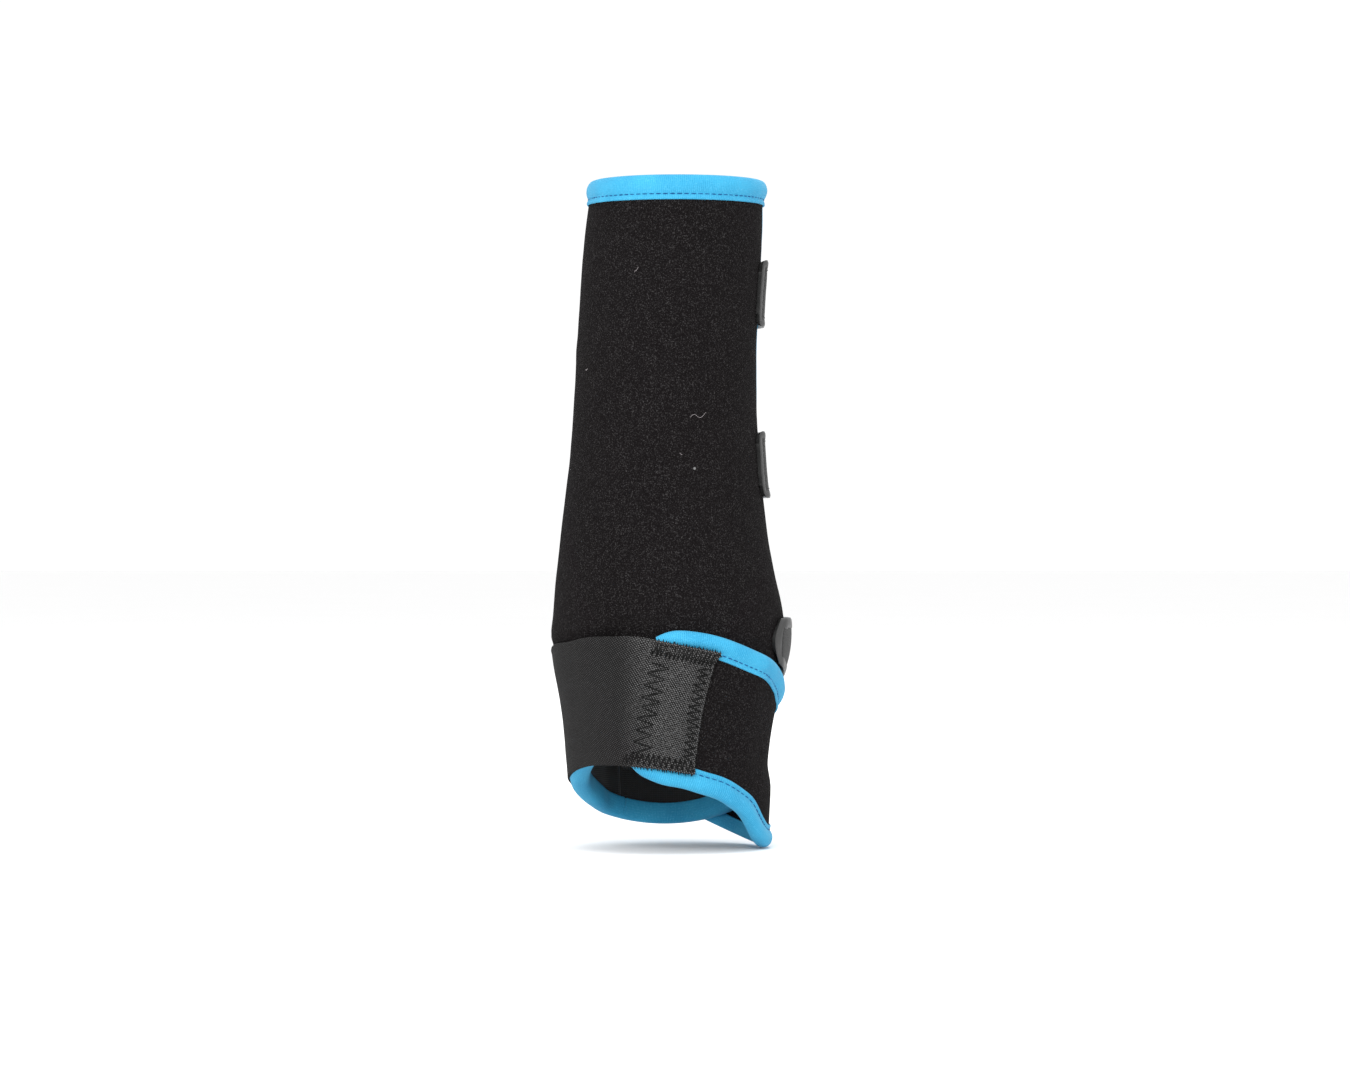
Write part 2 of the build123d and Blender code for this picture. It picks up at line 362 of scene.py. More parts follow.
def hump(value, centre, spread):
    return math.exp(-((value - centre) / spread) ** 2)


def humps(value, rows):
    # rows of size, centre and spread
    return sum(size * hump(value, centre, spread) for size, centre, spread in rows)


def waver(size, x, y, z):
    # soft unevenness, up to about half of size either way
    return size * noise.noise(Vector((x, y, z)))


def planeHeight(angle, plane, offset=0.0):
    # where a slanting cut meets the curved surface, found in a few rounds
    height = plane["height"]
    for _ in range(4):
        spot = legPoint(angle, height, offset) / mm
        height = plane["height"] + plane["slopeX"] * spot.x + plane["slopeY"] * spot.y
    return height


# modelling helpers

def addPiece(name, mesh, *paints):
    data = bpy.data.meshes.new(name)
    mesh.to_mesh(data)
    mesh.free()
    for face in data.polygons:
        face.use_smooth = True
    piece = bpy.data.objects.new(name, data)
    bpy.context.scene.collection.objects.link(piece)
    for paint in paints:
        data.materials.append(finish[paint])
    return piece


def wrap(name, columns, rows, placeAt, *paints):
    # a flat panel, bent round the leg; placeAt gives a point's place and its spot on the flat cloth
    mesh = bmesh.new()
    bmesh.ops.create_grid(mesh, x_segments=columns, y_segments=rows, size=0.5)
    cloth = mesh.loops.layers.uv.new("flat")
    for vert in mesh.verts:
        place, spot = placeAt(vert.co.x + 0.5, vert.co.y + 0.5)
        for loop in vert.link_loops:
            loop[cloth].uv = spot
        vert.co = place
    return addPiece(name, mesh, *paints)


def thicken(piece, thickness, rim=0):
    # inwards from the modelled face; rim is the paint of the cut edge, counted on from the face's
    solid = piece.modifiers.new("thickness", "SOLIDIFY")
    solid.thickness = thickness * mm
    solid.offset = -1
    solid.material_offset_rim = rim
    return solid


def roundEdges(piece, width):
    bevel = piece.modifiers.new("roundedEdges", "BEVEL")
    bevel.width = width * mm
    bevel.segments = 2
    bevel.limit_method = "ANGLE"


def subdivide(piece):
    sub = piece.modifiers.new("smoothing", "SUBSURF")
    sub.levels = 1
    sub.render_levels = 1


def across(piece, joint, direction, before, after):
    # bakes the piece's transform in place; it works out the joint's line and the span from `before` mm
    # ahead of it to `after` mm past it, but bends nothing
    hinge = joints[joint]
    centre, way = Vector(hinge["pos_m"]), Vector(direction).normalized()
    centre - way * before * mm
    centre + way * after * mm
    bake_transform(piece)


def overFlap(piece):
    across(piece, "flap_open", (1, 0, 0), 22, 22)


def overSling(piece):
    across(piece, "sling_open", (0.6, -0.8, 0), 4, 16)


def overStrap(piece):
    across(piece, "strap_open", (-1, 0, 0), -1, 11)


def stitchRow(name, spots, radius, paint):
    # short lengths of thread, each from one point to the next
    mesh = bmesh.new()
    for start, end in spots:
        length = (end - start).length
        turn = (end - start).to_track_quat("X", "Z").to_matrix().to_4x4()
        size = Matrix.Diagonal((length / 2 + radius * mm, radius * mm, radius * mm, 1))
        bmesh.ops.create_icosphere(mesh, subdivisions=1, radius=1,
                                   matrix=Matrix.Translation((start + end) / 2) @ turn @ size)
    return addPiece(name, mesh, paint)


# boot wall: neoprene with a loop face, in a rear panel and a front panel that carries the flap
# girths are the radius that turns an angle into a length of cloth
wall = {
    "thickness": 5.2, "edgeInset": 1.2, "girth": 48, "panelHeight": 270, "step": 3.0,
    "liningOffset": -5.3, "liningThickness": 0.8, "liningInset": 3.2, "liningGirth": 43,
    "seamAngle": 124.0, "flapEdge": 376.4, "rearEdge": 17.6, "tapeLap": 0.5,
    "cornerRadius": 11.0, "cornerGirth": 44.0, "topHeight": 300.0,
    "longSteps": 80, "sideSteps": 60, "cornerSteps": 12,
}
hem = {"height": 27.0, "slopeX": 0.0, "slopeY": -0.43}
strap = {
    "top": {"height": 80.0, "slopeX": -0.17, "slopeY": -0.23},
    "bottom": {"height": 23.6, "slopeX": -0.155, "slopeY": -0.27},
    "end": 132.0, "cutLow": 285.5, "cutHigh": 290.7, "thickness": 1.7, "lift": 0.35,
    "leaveLow": 249.0, "leaveHigh": 262.0, "landing": 208.0, "hookStart": 158.0,
    "girth": 55, "width": 57, "step": 1.8, "rows": 30, "edgeRadius": 0.4,
    "overSling": 0.25, "overBinding": 1.8, "overHook": 1.1, "hookFade": 12, "overWall": 0.75,
    "topHumps": [(1.4, 257, 11), (-1.3, 213, 13)], "uneven": 0.25,
    "tip": 1.7, "tipRun": (0.9, 1.0), "cutUneven": 0.35, "seamLean": 15.0,
    "nearTop": (0.86, 0.97), "nearBottom": (0.12, 0.02),
}


# what the strap does to the wall's far side, and the unevenness all over it
wallRelief = {
    "wide": {"size": 0.55, "round": 1.7, "up": 0.026}, "fine": {"size": 0.16, "round": 5.5, "up": 0.10},
    "press": -1.7, "pressBelow": 18, "pressAbove": -1, "pressSoft": 5, "side": (150, 236, 18),
    "full": 0.9, "fullAbove": 7, "fullSpread": 6, "fold": (0.35, 224, 5), "foldSide": (150, 215, 25),
}


def relief(angle, height):
    # soft unevenness of the wall, pressed in under the strap and full just above it
    turn, far, soft = math.radians(angle), angle % 360, wallRelief["pressSoft"]
    uneven = sum(waver(waves["size"], math.cos(turn) * waves["round"],
                       math.sin(turn) * waves["round"], height * waves["up"])
                 for waves in (wallRelief["wide"], wallRelief["fine"]))
    low, high = planeHeight(angle, strap["bottom"]), planeHeight(angle, strap["top"])
    under = band(height, low - wallRelief["pressBelow"], high + wallRelief["pressAbove"], soft)
    above = hump(height, high + wallRelief["fullAbove"], wallRelief["fullSpread"])
    side = band(far, *wallRelief["side"])
    folds = humps(height, [wallRelief["fold"]]) * band(far, *wallRelief["foldSide"])
    return uneven + (wallRelief["press"] * under + wallRelief["full"] * above) * side + folds


def wallPoint(angle, height, offset=0.0):
    return legPoint(angle, height, offset + relief(angle, height))


def cornerDrop(distance, radius):
    # how far a rounded corner has fallen away at a distance from the side edge
    if distance >= radius:
        return 0.0
    return radius - math.sqrt(max(radius**2 - (radius - distance) ** 2, 0.0))


def wallEdges(angle, edgeAngle):
    distance = math.radians(abs(angle - edgeAngle)) * wall["cornerGirth"]
    drop = cornerDrop(distance, wall["cornerRadius"])
    return planeHeight(angle, hem) + drop, wall["topHeight"] - drop


def wallPanel(name, start, end, edgeAngle, offset, thickness, inset, paints):
    girth = math.radians(end - start) * wall["girth"]
    squeezed = math.degrees(inset / wall["cornerGirth"])
    first = start + (squeezed if edgeAngle == start else 0)
    last = end - (squeezed if edgeAngle == end else 0)

    def place(u, v):
        angle = first + (last - first) * u
        low, high = wallEdges(angle, edgeAngle)
        height = low + inset + (high - low - 2 * inset) * v
        spot = math.radians(angle) * wall["girth"] * mm, height * mm
        return wallPoint(angle, height, offset), spot

    panel = wrap(name, round(girth / wall["step"]), round(wall["panelHeight"] / wall["step"]),
                 place, *paints)
    thicken(panel, thickness, rim=len(paints) - 1)
    return panel


def boundPath(start, edgeAngle, rising, step):
    # even steps along a panel's edge: one long edge, the closing edge and the other long edge
    way = 1 if edgeAngle > start else -1
    corner = math.degrees(wall["cornerRadius"] / wall["cornerGirth"])
    straight = edgeAngle - way * corner
    radius, count = wall["cornerRadius"], wall["cornerSteps"]
    longSteps, sideSteps = wall["longSteps"], wall["sideSteps"]
    low, high = planeHeight(edgeAngle, hem), wall["topHeight"]
    topRun = [(start + (straight - start) * i / longSteps, high) for i in range(longSteps + 1)]
    hemRun = [(angle, planeHeight(angle, hem)) for angle, _ in topRun]
    arc = [math.pi / 2 * i / count for i in range(1, count + 1)]
    topCorner = [(straight + way * corner * math.sin(a), high - radius * (1 - math.cos(a)))
                 for a in arc]
    hemCorner = [(straight + way * corner * math.sin(a), low + radius * (1 - math.cos(a)))
                 for a in arc]
    side = [(edgeAngle, low + radius + (high - low - 2 * radius) * i / sideSteps)
            for i in range(1, sideSteps)]
    route = hemRun + hemCorner + side + topCorner[::-1] + topRun[::-1]
    if not rising:
        route = route[::-1]
    return evenSteps(route, step)


def evenSteps(route, step):
    # the route again in steps of one length, and its whole length
    places = [legPoint(*spot) for spot in route]
    lengths = [0.0]
    for first, second in zip(places, places[1:]):
        lengths.append(lengths[-1] + (second - first).length / mm)
    count = round(lengths[-1] / step)
    even, leg = [], 0
    for i in range(count + 1):
        target = lengths[-1] * i / count
        while leg < len(route) - 2 and lengths[leg + 1] < target:
            leg += 1
        share = (target - lengths[leg]) / max(lengths[leg + 1] - lengths[leg], 1e-9)
        even.append([a + (b - a) * share for a, b in zip(route[leg], route[leg + 1])])
    return even, lengths[-1]


def edgeFrame(path, share, surface, base):
    # a spot on the edge, and what one millimetre off the panel adds to its angle and height
    index = min(max(share, 0.0), 1.0) * (len(path) - 1)
    low = min(int(index), len(path) - 2)
    part = index - low
    angle, height = [a + (b - a) * part for a, b in zip(path[low], path[low + 1])]
    before, after = path[max(low - 1, 0)], path[min(low + 2, len(path) - 1)]
    here = surface(angle, height, base)
    perDegree = (surface(angle + 1, height, base) - here).length / mm
    perRise = (surface(angle, height + 1, base) - here).length / mm
    ahead = Vector(((after[0] - before[0]) * perDegree, (after[1] - before[1]) * perRise))
    ahead.normalize()
    return angle, height, -ahead.y / perDegree, ahead.x / perRise, abs(ahead.y)


# half of a binding's section: distance off the edge, and height over the panel's face
wallBinding = {
    "step": 1.8, "thickness": 0.6, "slim": 0.55,
    "stitchAt": -8.8, "stitchPitch": 3.1, "stitchLength": 2.2,
    "section": [(-11.3, 0.0), (-11.4, 0.6), (-10.6, 1.05), (-9.6, 0.95), (-8.8, 0.30),
                (-8.0, 0.95), (-6.5, 1.75), (-4.6, 2.05), (-2.6, 1.7), (-0.9, 0.8), (-0.1, -0.9),
                (0.0, -3.0), (-0.3, -5.0), (-1.6, -6.7), (-4.2, -7.5), (-7.4, -7.5), (-10.2, -7.0)],
}
slingBinding = {
    "step": 1.6, "thickness": 0.5, "slim": 0.0,
    "stitchAt": -7.9, "stitchPitch": 3.0, "stitchLength": 2.1,
    "section": [(-10.1, 0.0), (-10.2, 0.55), (-9.5, 0.95), (-8.6, 0.85), (-7.9, 0.30),
                (-7.1, 0.95), (-5.6, 1.8), (-3.9, 2.1), (-2.1, 1.7), (-0.6, 0.7), (0.0, -0.8),
                (0.0, -2.4), (-0.4, -3.9), (-1.6, -5.0), (-4.5, -5.3), (-8.0, -5.1)],
}

# how the tape puckers at its stitches and runs uneven; width is its flat width on the cloth
tapeFeel = {
    "pucker": 0.16, "puckerBeside": 1.0, "puckerSpread": 1.8, "uneven": 0.22, "width": 30,
    "threadRadius": 0.30, "threadRise": 0.5, "firstStitch": 0.4,
}


def sectionAt(section, share):
    index = share * (len(section) - 1)
    low = min(int(index), len(section) - 2)
    part = index - low
    return [a + (b - a) * part for a, b in zip(section[low], section[low + 1])]


def bindingPlace(path, share, surface, base, kind, away, rise):
    # the binding is slimmer and flatter where it runs up the leg
    angle, height, turn, climb, upright = edgeFrame(path, share, surface, base)
    slim = kind["slim"] * upright**4
    away *= 1 - 0.5 * slim
    rise *= 1 - slim if rise > 0 else 1
    return surface(angle + away * turn, height + away * climb, base + rise)


def bindEdge(name, path, length, surface, base, kind):
    section = kind["section"]

    def place(u, v):
        away, rise = sectionAt(section, v)
        along = u * length
        pucker = math.sin(2 * math.pi * along / kind["stitchPitch"]) * tapeFeel["pucker"]
        beside = kind["stitchAt"] + tapeFeel["puckerBeside"]
        pucker *= hump(away, beside, tapeFeel["puckerSpread"]) if rise > -1 else 0
        uneven = waver(tapeFeel["uneven"], along * 0.16, away * 0.2, 3.7)
        rise += pucker + uneven * (1 if rise > -2 else -0.3)
        spot = along * mm, v * tapeFeel["width"] * mm
        return bindingPlace(path, u, surface, base, kind, away, rise), spot

    tape = wrap(name, round(length / kind["step"]), len(section) - 1, place, "blue")
    thicken(tape, kind["thickness"])
    subdivide(tape)
    return tape


def bindingStitches(name, path, length, surface, base, kind):
    spots = []
    for i in range(int(length / kind["stitchPitch"])):
        ends = [(i * kind["stitchPitch"] + tapeFeel["firstStitch"] + extra) / length
                for extra in (0.0, kind["stitchLength"])]
        spots.append([bindingPlace(path, share, surface, base, kind, kind["stitchAt"],
                                   tapeFeel["threadRise"]) for share in ends])
    return stitchRow(name, spots, tapeFeel["threadRadius"], "blueThread")


def bootWall():
    halves = {
        "rear": (wall["rearEdge"], wall["seamAngle"], wall["rearEdge"]),
        "flap": (wall["seamAngle"], wall["flapEdge"], wall["flapEdge"]),
    }
    for half, (start, end, edgeAngle) in halves.items():
        shell = wallPanel(f"{half}Wall", start, end, edgeAngle, 0.0, wall["thickness"],
                          wall["edgeInset"], ("loop", "neoprene"))
        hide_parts(f"{half}_face", f"{half}_core")
        lining = wallPanel(f"{half}Lining", start, end, edgeAngle, wall["liningOffset"],
                           wall["liningThickness"], wall["liningInset"], ("lining",))
        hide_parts(f"{half}_lining")
        rising = half == "rear"
        lap = 0.0 if rising else wall["tapeLap"]
        path, length = boundPath(wall["seamAngle"] - lap, edgeAngle, rising, 1.0)
        tape = bindEdge(f"{half}Binding", path, length, wallPoint, 0.0, wallBinding)
        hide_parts(f"{half}_top_binding", f"{half}_bottom_binding", f"{half}_edge_binding")
        rows = bindingStitches(f"{half}BindingStitches", path, length, wallPoint, 0.0, wallBinding)
        for piece in (shell, lining, tape, rows):
            if half == "rear":
                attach(piece, "rear_shell")
            else:
                overFlap(piece)
    print("boot wall wrapped and bound")


# sling: a neoprene band from the back of the boot, round the closing side, to the front
sling = {
    "outer": 5.9, "thickness": 3.9, "edgeInset": 1.0,
    "top": {"height": 84.0, "slopeX": -0.25, "slopeY": -0.22},
    "bottom": {"height": 22.0, "slopeX": -0.49, "slopeY": -0.10},
    "startLow": -109.5, "startHigh": -96.0, "end": 100.0, "step": 2.5,
    "girth": 54, "length": 190, "height": 72, "routeSteps": 120,
    "topHumps": [(4.6, -66, 24), (4.6, -30, 22), (-6.0, -101, 9)],
    "bottomHumps": [(7.0, -58, 21), (2.2, -40, 9), (-2.2, -14, 18), (1.5, -80, 9), (3.0, -110, 4.5)],
    "sewn": (97, 112, 10), "sewnDrop": 3.1, "sewnThinner": 0.66, "leastOffset": 0.35,
    "slack": 0.6, "slackFade": (18, 40), "slackSide": (-60, 40, 30),
    "hug": -1.6, "hugHeight": (38, 84, 12), "hugSide": (-25, 40, 20),
}


def slingEdges(angle):
    # both edges are nearly flat cuts, fuller at the front, and drawn in at the front tip
    top = planeHeight(angle, sling["top"], sling["outer"]) + humps(angle, sling["topHumps"])
    bottom = planeHeight(angle, sling["bottom"], sling["outer"])
    return bottom + humps(angle, sling["bottomHumps"]), top


def sewnDown(angle):
    # 1 at the sling's rear end, where it is pressed flat and sewn to the wall
    return band(angle, *sling["sewn"])


def slingPoint(angle, height, offset=0.0):
    # the sling clings to the wall at the closing side and stands a little off the pastern
    low = 1 - smooth(height, *sling["slackFade"])
    slack = sling["slack"] * low * band(angle, *sling["slackSide"])
    hug = sling["hug"] * band(height, *sling["hugHeight"]) * band(angle, *sling["hugSide"])
    flat = offset - sling["sewnDrop"] * sewnDown(angle)
    return wallPoint(angle, height, max(flat, min(offset, sling["leastOffset"])) + slack + hug)


def wrappedSling():
    inset = sling["edgeInset"]

    def place(u, v):
        start = sling["startLow"] + (sling["startHigh"] - sling["startLow"]) * v
        angle = start + (sling["end"] - start) * u
        low, high = slingEdges(angle)
        height = low + inset + (high - low - 2 * inset) * v
        spot = math.radians(angle) * sling["girth"] * mm, height * mm
        return slingPoint(angle, height, sling["outer"]), spot

    body = wrap("slingBand", round(sling["length"] / sling["step"]),
                round(sling["height"] / sling["step"]), place, "loop", "neoprene")
    body.vertex_groups.new(name="thickness")
    for loop in body.data.loops:
        along = body.data.uv_layers["flat"].data[loop.index].uv.x
        share = 1 - sling["sewnThinner"] * sewnDown(math.degrees(along / mm / sling["girth"]))
        body.vertex_groups["thickness"].add([loop.vertex_index], share, "REPLACE")
    thicken(body, sling["thickness"], rim=1).vertex_group = "thickness"
    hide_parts("sling_base_core", "sling_base_face", "sling_arm_core", "sling_arm_face")
    overSling(body)

    for edge in ("top", "bottom"):
        first = sling["startHigh"] if edge == "top" else sling["startLow"]
        steps = sling["routeSteps"]
        angles = [first + (sling["end"] - first) * i / steps for i in range(steps + 1)]
        route = [(angle, slingEdges(angle)[edge == "top"]) for angle in angles]
        if edge == "bottom":
            route = route[::-1]
        path, length = evenSteps(route, 1.0)
        tape = bindEdge(f"sling{edge.title()}Binding", path, length, slingPoint, sling["outer"],
                        slingBinding)
        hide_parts(f"sling_base_{edge}_binding", f"sling_arm_{edge}_binding")
        rows = bindingStitches(f"sling{edge.title()}Stitches", path, length, slingPoint,
                               sling["outer"], slingBinding)
        overSling(tape)
        overSling(rows)
    slingEndSeam()
    print("sling wrapped and bound")


endSeam = {"count": 46, "fromEnd": 0.4, "width": 4.0, "inset": 2, "lift": 0.15, "radius": 0.30}


def slingEndSeam():
    # close zigzag that sews the sling's rear end to the wall
    low, high = slingEdges(sling["end"])
    count, inset = endSeam["count"], endSeam["inset"]
    points = [slingPoint(sling["end"] - endSeam["fromEnd"] - endSeam["width"] * (i % 2),
                         low + inset + (high - low - 2 * inset) * i / (count - 1),
                         sling["outer"] + endSeam["lift"]) for i in range(count)]
    seam = stitchRow("slingEndSeam", list(zip(points, points[1:])), endSeam["radius"],
                     "blackThread")
    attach(seam, "rear_shell")


def strapOffset(angle, v):
    # inner face of the strap: on the sling, then down in a straight run to the boot
    leave = strap["leaveLow"] + (strap["leaveHigh"] - strap["leaveLow"]) * v
    nearBinding = smooth(v, *strap["nearTop"]) + smooth(v, *strap["nearBottom"])
    onSling = sling["outer"] + strap["overSling"] + strap["overBinding"] * nearBinding
    pastHook = smooth(angle, strap["hookStart"], strap["hookStart"] + strap["hookFade"])
    lying = strap["lift"] + strap["overHook"] * (1 - pastHook) + strap["overWall"]
    rise = smooth(angle, strap["landing"], leave + 4)
    return lying + (onSling - lying) * rise


pull = {
    "left": 258, "leftLean": 11.0, "leftSpread": 4.5, "right": 4.5, "rightSpread": 3.5,
    "uneven": 0.45, "depth": 0.35, "rows": (0.08, 0.9, 0.06),
}


def seamPull(angle, v):
    # the zigzag seams draw the cloth in, unevenly
    left = hump(angle, pull["left"] + pull["leftLean"] * v, pull["leftSpread"])
    right = hump(angle, strapAngle(1.0, v) - pull["right"], pull["rightSpread"])
    rough = waver(pull["uneven"], angle * 0.45, v * 26, 1.3)
    return (left + right) * (rough - pull["depth"]) * band(v, *pull["rows"])


def strapPoint(angle, v, lift=0.0):
    low, high = planeHeight(angle, strap["bottom"]), planeHeight(angle, strap["top"])
    high += humps(angle, strap["topHumps"])
    height = low + (high - low) * v
    lift += waver(strap["uneven"], angle * 0.03, v * 2.0, 8.1) + seamPull(angle, v)
    return slingPoint(((angle + 180) % 360) - 180, height, strapOffset(angle, v) + lift)


def strapAngle(u, v):
    # the cut end leans, and ends in a small frayed tip at the top
    cut = strap["cutLow"] + (strap["cutHigh"] - strap["cutLow"]) * v
    cut += strap["tip"] * smooth(v, *strap["tipRun"]) + waver(strap["cutUneven"], v * 22, 4.4, 0.0)
    return strap["end"] + (cut - strap["end"]) * u


def slingStrap():
    thickness = strap["thickness"]
    length = math.radians(strap["cutLow"] - strap["end"]) * strap["girth"]

    def place(u, v):
        angle = strapAngle(u, v)
        spot = math.radians(angle) * strap["girth"] * mm, v * strap["width"] * mm
        return strapPoint(angle, v, thickness), spot

    woven = wrap("slingStrap", round(length / strap["step"]), strap["rows"], place, "woven")
    thicken(woven, thickness)
    roundEdges(woven, strap["edgeRadius"])
    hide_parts("strap_band", "strap_sewn_end")
    overStrap(woven)
    seam = strapSeam(thickness)
    overStrap(seam)
    print("strap sewn on")


# each row of zigzag: stitches, where it runs across the strap, how wide it swings and how far
# it strays. Places up the strap are shares of its width, and the rest is degrees.
zigzags = {
    "left": {"count": 17, "low": 0.10, "tall": 0.72, "angle": 252.5, "lean": 11.5, "swing": 9.5,
             "rise": 0.02, "stray": 0.8, "strayUp": 0.008},
    "right": {"count": 27, "low": 0.10, "tall": 0.76, "fromCut": 1.2, "swing": 6.0,
              "stray": 0.5, "strayUp": 0.006},
    "top": {"count": 31, "outer": 0.985, "inner": 0.87, "stray": 0.3, "strayUp": 0.008},
    "bottom": {"count": 27, "outer": 0.015, "inner": 0.11, "stray": 0.3, "strayUp": 0.008},
}
strapThread = {"radius": 0.33, "lift": 0.22, "seed": 11}


def strapSeam(thickness):
    # zigzag columns at the sling's end and at the cut end, and close rows along both edges
    spots = []
    random.seed(strapThread["seed"])

    def zigzag(row, placeOf):
        points = [placeOf(row, i / (row["count"] - 1), i % 2) for i in range(row["count"])]
        spots.extend(zip(points, points[1:]))

    def jitter(size):
        return random.uniform(-size, size)

    def sewn(row, angle, v):
        angle += jitter(row["stray"])
        v += jitter(row["strayUp"])
        return strapPoint(angle, min(max(v, 0.0), 1.0), thickness + strapThread["lift"])

    def leftColumn(row, t, turn):
        v = row["low"] + row["tall"] * t
        angle = row["angle"] + row["lean"] * v + row["swing"] * turn
        return sewn(row, angle, v + row["rise"] * turn)

    def rightColumn(row, t, turn):
        v = row["low"] + row["tall"] * t
        return sewn(row, strapAngle(1.0, v) - row["fromCut"] - row["swing"] * turn, v)

    def edgeRow(row, t, turn):
        v = row["inner"] if turn else row["outer"]
        first = strap["leaveLow"] + strap["seamLean"] * v
        return sewn(row, first + (strapAngle(1.0, v) - 1 - first) * t, v)

    zigzag(zigzags["left"], leftColumn)
    zigzag(zigzags["right"], rightColumn)
    zigzag(zigzags["top"], edgeRow)
    zigzag(zigzags["bottom"], edgeRow)
    spots.extend(frayedEdge(thickness))
    seam = stitchRow("strapSeam", spots, strapThread["radius"], "blackThread")
    return seam


# thread ends past the edges, in shares of the strap's width, and past the cut end, in degrees
fray = {
    "edgeCount": 28, "edgeInside": 0.035, "edgePast": 0.021, "edgeLeast": 0.3, "edgeLean": 0.6,
    "cutCount": 30, "cutInside": 1.6, "cutPast": 1.1, "cutLeast": 0.2, "cutLean": 0.012,
    "cutFrom": 0.02, "cutTall": 0.96, "lift": 0.1,
}


def frayedEdge(thickness):
    # overcast thread ends that stand out past the sewn edges and the cut end
    ends = []
    top, middle = thickness + fray["lift"], thickness / 2
    for edge, way in ((1.0, 1), (0.0, -1)):
        first = strap["leaveLow"] + strap["seamLean"] * edge
        for i in range(fray["edgeCount"]):
            angle = first + (strapAngle(1.0, edge) - first) * (i + 0.5) / fray["edgeCount"]
            reach = fray["edgePast"] * random.uniform(fray["edgeLeast"], 1.0)
            lean = random.uniform(-fray["edgeLean"], fray["edgeLean"])
            ends.append((strapPoint(angle, edge - way * fray["edgeInside"], top),
                         strapPoint(angle + lean, edge + way * reach, middle)))
    for i in range(fray["cutCount"]):
        v = fray["cutFrom"] + fray["cutTall"] * i / (fray["cutCount"] - 1)
        cut, lean = strapAngle(1.0, v), random.uniform(-fray["cutLean"], fray["cutLean"])
        reach = fray["cutPast"] * random.uniform(fray["cutLeast"], 1.0)
        ends.append((strapPoint(cut - fray["cutInside"], v, top),
                     strapPoint(cut + reach, v + lean, middle)))
    return ends


# closing tabs: sewn base in front of the closing edge, free end over the rear wall
tabs = {
    "upper": {"low": 234.0, "high": 264.0, "start": -14.0, "bow": 0.0, "cut": None, "margin": 3.4},
    "middle": {"low": 157.0, "high": 187.0, "start": -14.0, "bow": 0.0, "cut": None, "margin": 3.4},
    "lower": {"low": 70.0, "high": 103.0, "start": -28.0, "bow": 9.0, "cut": 88.6, "margin": 4.6},
}
tabShape = {
    "end": 58.0, "outer": 3.1, "thickness": 2.95, "freeShare": 0.42, "foldAngle": 14.5,
    "raised": 0.38, "corner": 7.0, "baseCorner": 5.0, "edgeRadius": 0.35, "cell": 1.0,
    "girth": 50.0, "cutSlopeX": -0.25, "cutSlopeY": -0.22, "seat": -1.3, "seatRun": (0.5, 7.0),
    "thinBefore": (7, 1),
}
tabSeam = {
    "inside": 0.9, "pitch": 2.6, "thread": (0.12, 0.82), "stopShort": 3, "lift": 0.1,
    "radius": 0.22,
}


def tabEdges(tab, angle):
    # the lower tab's lower edge is cut along the sling
    if tab["cut"]:
        plane = {"height": tab["cut"], "slopeX": tabShape["cutSlopeX"],
                 "slopeY": tabShape["cutSlopeY"]}
        return planeHeight(angle, plane), tab["high"]
    return tab["low"], tab["high"]


def seated(along):
    # the front end of the sewn base is drawn down to the wall
    return tabShape["seat"] * (1 - smooth(along, *tabShape["seatRun"]))


def closingTab(side, tab):
    girth, corner = tabShape["girth"], tabShape["corner"]
    start, end = tab["start"], tabShape["end"]
    length = math.radians(end - start) * girth
    # the bowed end needs no rounded corners
    baseCorner = 0 if tab["bow"] else tabShape["baseCorner"]

    def spotAt(u, v):
        bow = tab["bow"] * (1 - u) ** 3 * (2 * v - 1) ** 2
        along = u * length
        low, high = tabEdges(tab, start + (end - start) * u)
        drop = cornerDrop(length - along, corner) + cornerDrop(along, baseCorner)
        low, high = low + drop, high - drop
        angle = start + bow + (end - start - bow) * u
        return angle, low + (high - low) * v, along, low, high

    def place(u, v):
        angle, height, along, low, high = spotAt(u, v)
        inside = min(along, length - along, height - low + 0.01, high - height + 0.01)
        ridge = tabShape["raised"] * smooth(inside, 0.2, 0.9) * (
            1 - smooth(inside, tab["margin"] - 0.7, tab["margin"]))
        offset = tabShape["outer"] + ridge + seated(along)
        return wallPoint(angle, height, offset), (along * mm, height * mm)

    tall = tab["high"] - tab["low"]
    strip = wrap(f"{side}Tab", round(length / tabShape["cell"]), round(tall / tabShape["cell"]),
                 place, "tab", "margin")
    flat = strip.data.uv_layers["flat"].data
    for face in strip.data.polygons:
        u = sum(flat[i].uv.x for i in face.loop_indices) / face.loop_total / mm
        height = sum(flat[i].uv.y for i in face.loop_indices) / face.loop_total / mm
        low, high = tabEdges(tab, start + (end - start) * u / length)
        toEnd, toEdge = length - u, min(height - low, high - height)
        near = min(u, toEnd, toEdge)
        if toEnd < corner and toEdge < corner:
            near = min(near, corner - math.hypot(corner - toEnd, corner - toEdge))
        face.material_index = 1 if near < tab["margin"] else 0
    free = strip.vertex_groups.new(name="thickness")
    hinge = math.radians(tabShape["foldAngle"] - start) * girth
    thinFrom, thinTo = [hinge - before for before in tabShape["thinBefore"]]
    for loop in strip.data.loops:
        along = flat[loop.index].uv.x / mm
        share = 1 - (1 - tabShape["freeShare"]) * smooth(along, thinFrom, thinTo)
        free.add([loop.vertex_index], share, "REPLACE")
    solid = thicken(strip, tabShape["thickness"])
    solid.vertex_group = "thickness"
    roundEdges(strip, tabShape["edgeRadius"])
    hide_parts(f"{side}_tab_base", f"{side}_tab_strap")
    across(strip, f"{side}_tab_peel", (-0.2, 0.98, 0), 2, 6)

    tabStitches(side, tab, spotAt, hinge)


